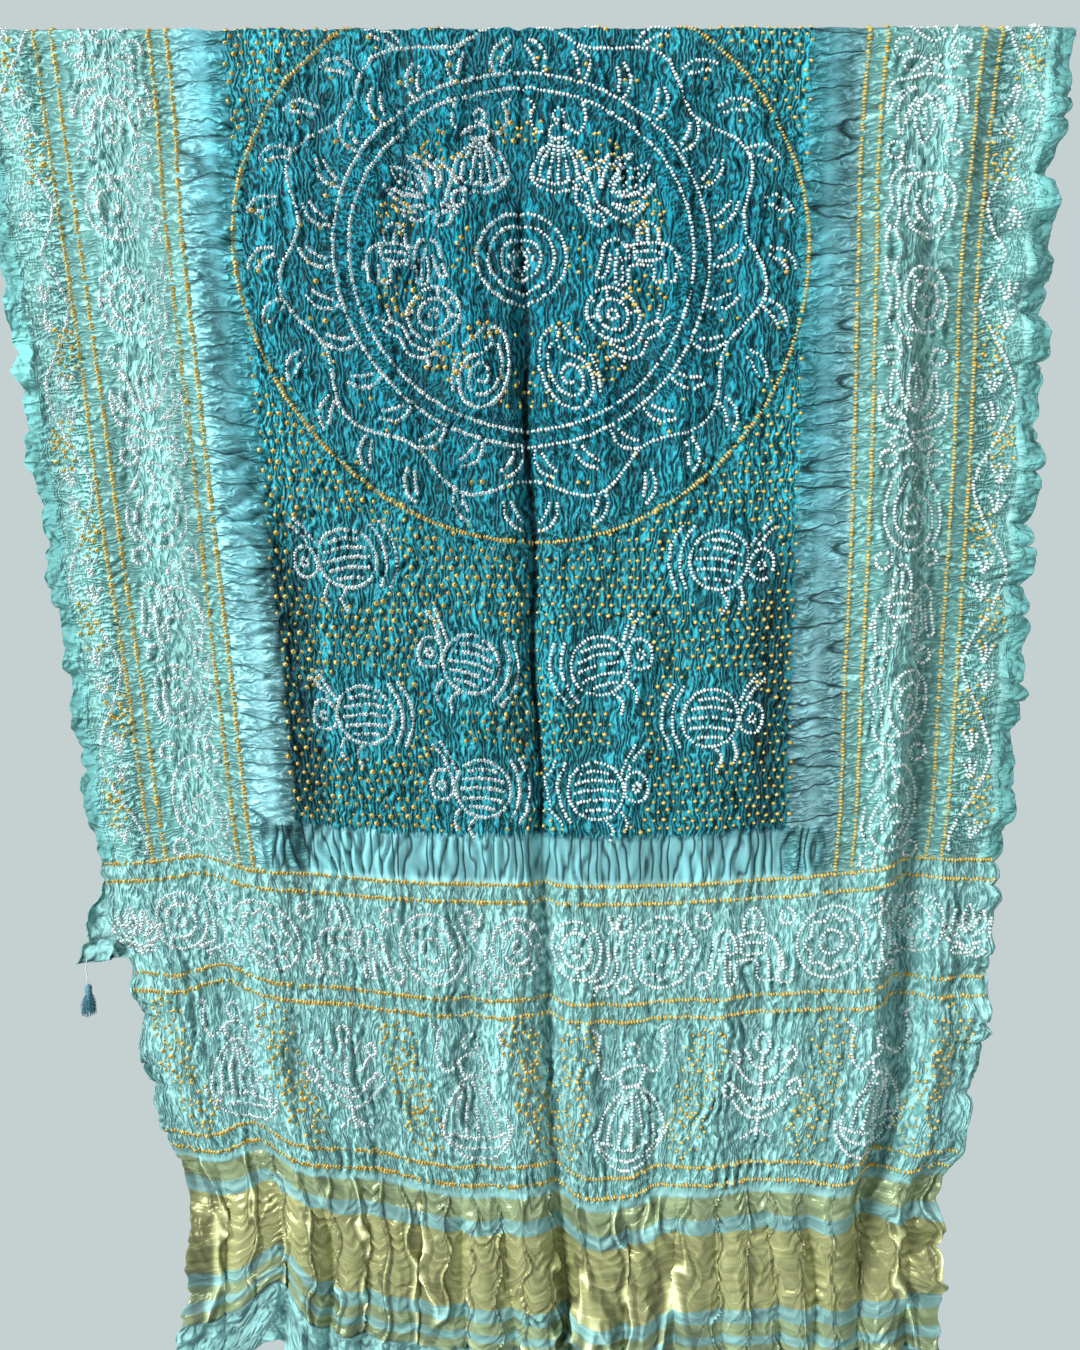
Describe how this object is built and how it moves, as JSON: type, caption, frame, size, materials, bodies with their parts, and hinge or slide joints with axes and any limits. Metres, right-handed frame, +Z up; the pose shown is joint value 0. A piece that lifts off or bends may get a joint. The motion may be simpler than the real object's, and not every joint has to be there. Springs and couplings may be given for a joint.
{
  "type": "bandhani cloth",
  "caption": "Long crinkled silk cloth, tie-dyed in dots, with woven gold bands. It hangs folded once over a rail, as a front fall and a shorter back fall with a small tassel.",
  "frame": {"origin": "middle of the inner crest of the top fold, where a rail would lie under the cloth", "axes": "+Z up, +X along the fold to the right as seen from the front, and -Y towards the viewer of the front fall"},
  "size_m": [0.982, 0.1007, 1.2941],
  "materials": {
    "crinkled_silk": "crinkled satin silk, tie-dyed aqua and deep teal with white and yellow dots, and woven gold bands near the ends",
    "white_thread": "matt twisted cotton thread",
    "teal_strands": "soft silk strands"
  },
  "bodies": {
    "root": {"cloth": "crinkled_silk", "tassel_thread": "white_thread", "tassel": "teal_strands"}
  },
  "joints": []
}
